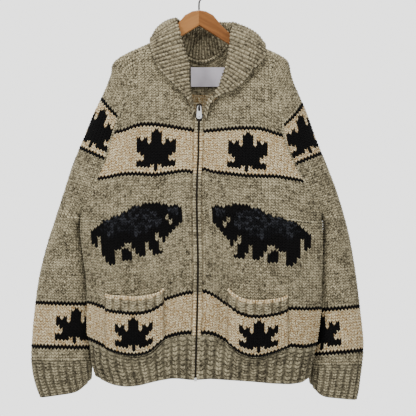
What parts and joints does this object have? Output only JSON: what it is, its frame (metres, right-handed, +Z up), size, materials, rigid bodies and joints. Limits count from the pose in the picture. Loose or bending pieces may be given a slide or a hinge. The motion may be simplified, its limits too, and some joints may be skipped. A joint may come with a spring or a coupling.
{
  "type": "zip cardigan on a hanger",
  "caption": "Thick hand-knit wool cardigan with a shawl collar, zip, raglan sleeves, ribbed hem and cuffs and two patch pockets, on a wooden hanger.",
  "frame": {"origin": "inside top of the hanger's hook, where it rests on a rail", "axes": "+Z up, the front of the garment faces -Y, +X is to the viewer's right"},
  "size_m": [0.732, 0.1438, 0.94],
  "materials": {
    "wool": "thick heather grey hand knit with cream and black patterns",
    "rib_wool": "heather grey ribs and garter stitch",
    "label_cloth": "plain woven label",
    "zip_tape": "dark woven tape",
    "dark_metal": "darkened metal",
    "silver_metal": "worn nickel",
    "wood": "clear satin varnish",
    "hook_wire": "dark plated wire"
  },
  "bodies": {
    "cardigan": {"back": "wool", "front_left": "wool", "front_right": "wool", "sleeve_left": "wool", "sleeve_right": "wool", "pocket_left": "wool", "pocket_right": "wool", "hem_back": "rib_wool", "hem_front_left": "rib_wool", "hem_front_right": "rib_wool", "cuff_left": "rib_wool", "cuff_right": "rib_wool", "collar": "rib_wool", "neck_label": "label_cloth", "zip_tape_left": "zip_tape", "zip_tape_right": "zip_tape", "zip_chain": "dark_metal", "zip_slider": "dark_metal", "zip_stop": "silver_metal", "hanger_arm_left": "wood", "hanger_arm_right": "wood", "hanger_hook": "hook_wire"},
    "zip_pull": {"zip_pull": "silver_metal"}
  },
  "joints": [
    {"name": "zip_pull_hinge", "type": "hinge", "parent": "cardigan", "child": "zip_pull", "pos_m": [0.00046, -0.05319, -0.286], "axis": [-1, 0, 0], "range_deg": [0, 150]}
  ]
}
